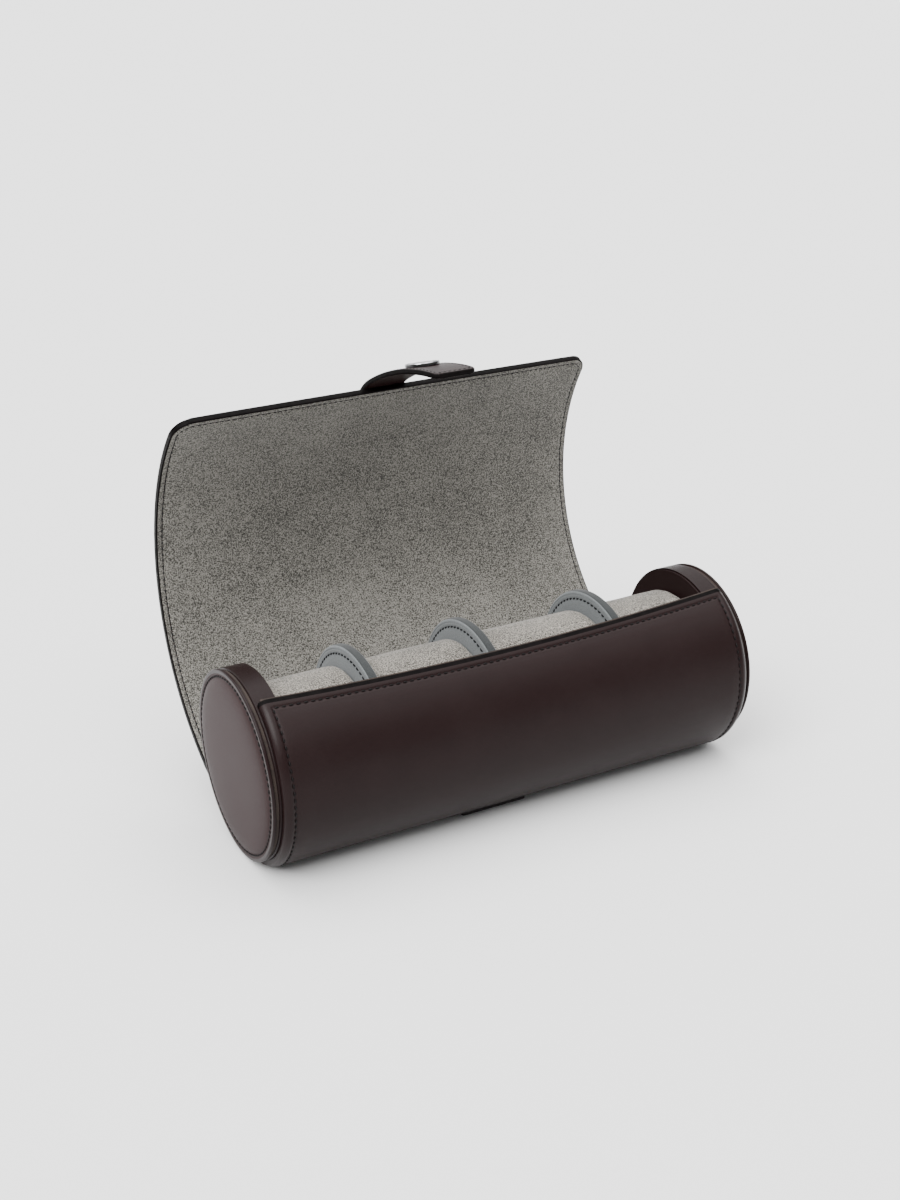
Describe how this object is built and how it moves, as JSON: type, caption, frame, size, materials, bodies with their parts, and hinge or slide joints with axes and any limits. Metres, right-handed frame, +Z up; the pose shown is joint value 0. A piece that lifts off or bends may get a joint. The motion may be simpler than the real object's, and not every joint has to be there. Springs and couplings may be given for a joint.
{
  "type": "watch travel case",
  "caption": "Round soft leather travel roll with padded watch cushions between dividers, a springy wrap-over flap and a snap tab.",
  "frame": {"origin": "on the resting plane, under the middle of the roll's axis", "axes": "+X along the roll to the right, +Y to the back where the flap is hinged, +Z up"},
  "size_m": [0.2722, 0.1884, 0.216],
  "materials": {
    "brown_leather": "smooth, softly glossy",
    "dark_leather": "smooth",
    "covered_wood": "leather-covered",
    "board": "raw",
    "grey_blue_suede": "napped",
    "taupe_suede": "napped",
    "padded_taupe_suede": "napped, padded",
    "pale_suede": "napped",
    "foam": "open cell",
    "bright_steel": "polished"
  },
  "bodies": {
    "case": {"left_end_cover": "brown_leather", "right_end_cover": "brown_leather", "left_end_backing": "board", "right_end_backing": "board", "left_drum": "covered_wood", "right_drum": "covered_wood", "left_drum_facing": "brown_leather", "right_drum_facing": "brown_leather", "wrap_leather": "brown_leather", "wrap_board": "board", "wrap_lining": "taupe_suede", "divider_1": "grey_blue_suede", "divider_2": "grey_blue_suede", "divider_3": "grey_blue_suede", "snap_socket": "bright_steel", "snap_patch": "dark_leather"},
    "flap_panel_1": {"flap_leather_1": "brown_leather", "flap_lining_1": "padded_taupe_suede"},
    "flap_panel_2": {"flap_leather_2": "brown_leather", "flap_lining_2": "padded_taupe_suede"},
    "flap_panel_3": {"flap_leather_3": "brown_leather", "flap_lining_3": "padded_taupe_suede"},
    "flap_panel_4": {"flap_leather_4": "brown_leather", "flap_lining_4": "padded_taupe_suede"},
    "flap_panel_5": {"flap_leather_5": "brown_leather", "flap_lining_5": "padded_taupe_suede"},
    "flap_panel_6": {"flap_leather_6": "brown_leather", "flap_lining_6": "padded_taupe_suede"},
    "flap_panel_7": {"flap_leather_7": "brown_leather", "flap_lining_7": "padded_taupe_suede"},
    "flap_panel_8": {"flap_leather_8": "brown_leather", "flap_lining_8": "padded_taupe_suede"},
    "flap_panel_9": {"flap_leather_9": "brown_leather", "flap_lining_9": "padded_taupe_suede"},
    "flap_panel_10": {"flap_leather_10": "brown_leather", "flap_lining_10": "padded_taupe_suede", "tab_sewn_end": "brown_leather"},
    "tab_middle": {"tab_soft_middle": "brown_leather"},
    "tab_end": {"tab_stiff_end": "brown_leather", "snap_cap": "bright_steel", "snap_post": "bright_steel"},
    "cushion_1": {"cushion_cover_1": "pale_suede", "cushion_foam_1": "foam"},
    "cushion_2": {"cushion_cover_2": "pale_suede", "cushion_foam_2": "foam"},
    "cushion_3": {"cushion_cover_3": "pale_suede", "cushion_foam_3": "foam"},
    "cushion_4": {"cushion_cover_4": "pale_suede", "cushion_foam_4": "foam"}
  },
  "joints": [
    {"name": "flap_crease_1", "type": "hinge", "parent": "case", "child": "flap_panel_1", "pos_m": [0, 0.02075, 0.00482], "axis": [1, 0, 0], "range_deg": [0, 13.08]},
    {"name": "flap_crease_2", "type": "hinge", "parent": "flap_panel_1", "child": "flap_panel_2", "pos_m": [0, 0.04069, 0.01412], "axis": [1, 0, 0], "range_deg": [0, 24.61]},
    {"name": "flap_crease_3", "type": "hinge", "parent": "flap_panel_2", "child": "flap_panel_3", "pos_m": [0, 0.06063, 0.02342], "axis": [0.9997, -0.0173, -0.0142], "range_deg": [0, 22.08]},
    {"name": "flap_crease_4", "type": "hinge", "parent": "flap_panel_3", "child": "flap_panel_4", "pos_m": [0.00002, 0.08189, 0.03646], "axis": [0.9979, -0.0381, -0.0514], "range_deg": [0, 16.16]},
    {"name": "flap_crease_5", "type": "hinge", "parent": "flap_panel_4", "child": "flap_panel_5", "pos_m": [0.00013, 0.09965, 0.05398], "axis": [0.9972, -0.0166, -0.0733], "range_deg": [0, 16.16]},
    {"name": "flap_crease_6", "type": "hinge", "parent": "flap_panel_5", "child": "flap_panel_6", "pos_m": [0.00043, 0.113, 0.07505], "axis": [0.9953, 0.006, -0.0965], "range_deg": [0, 14.36]},
    {"name": "flap_crease_7", "type": "hinge", "parent": "flap_panel_6", "child": "flap_panel_7", "pos_m": [0.001, 0.12123, 0.09859], "axis": [0.9783, 0.0132, -0.2068], "range_deg": [0, 5.74]},
    {"name": "flap_crease_8", "type": "hinge", "parent": "flap_panel_7", "child": "flap_panel_8", "pos_m": [0.00191, 0.12394, 0.12337], "axis": [0.9946, 0.0687, -0.0774], "range_deg": [0, 27.8]},
    {"name": "flap_crease_9", "type": "hinge", "parent": "flap_panel_8", "child": "flap_panel_9", "pos_m": [0.0032, 0.12099, 0.14811], "axis": [0.9855, 0.1066, -0.1319], "range_deg": [0, 10.4]},
    {"name": "flap_crease_10", "type": "hinge", "parent": "flap_panel_9", "child": "flap_panel_10", "pos_m": [0.00492, 0.11253, 0.17152], "axis": [0.9852, 0.1357, -0.1048], "range_deg": [0, 12.46]},
    {"name": "tab_lift", "type": "hinge", "parent": "flap_panel_10", "child": "tab_middle", "pos_m": [-0.0004, 0.10349, 0.19697], "axis": [0.9929, 0.1157, -0.026], "range_deg": [-45, 0]},
    {"name": "tab_wrap", "type": "hinge", "parent": "tab_middle", "child": "tab_end", "pos_m": [0.00301, 0.07635, 0.20629], "axis": [0.9929, 0.1157, -0.026], "range_deg": [0, 21.94]},
    {"name": "cushion_lift_1", "type": "slide", "parent": "case", "child": "cushion_1", "axis": [0, -0.5736, -0.8192], "range_m": [-0.09, 0]},
    {"name": "cushion_lift_2", "type": "slide", "parent": "case", "child": "cushion_2", "axis": [0, -0.5736, -0.8192], "range_m": [-0.09, 0]},
    {"name": "cushion_lift_3", "type": "slide", "parent": "case", "child": "cushion_3", "axis": [0, -0.5736, -0.8192], "range_m": [-0.09, 0]},
    {"name": "cushion_lift_4", "type": "slide", "parent": "case", "child": "cushion_4", "axis": [0, -0.5736, -0.8192], "range_m": [-0.09, 0]}
  ]
}
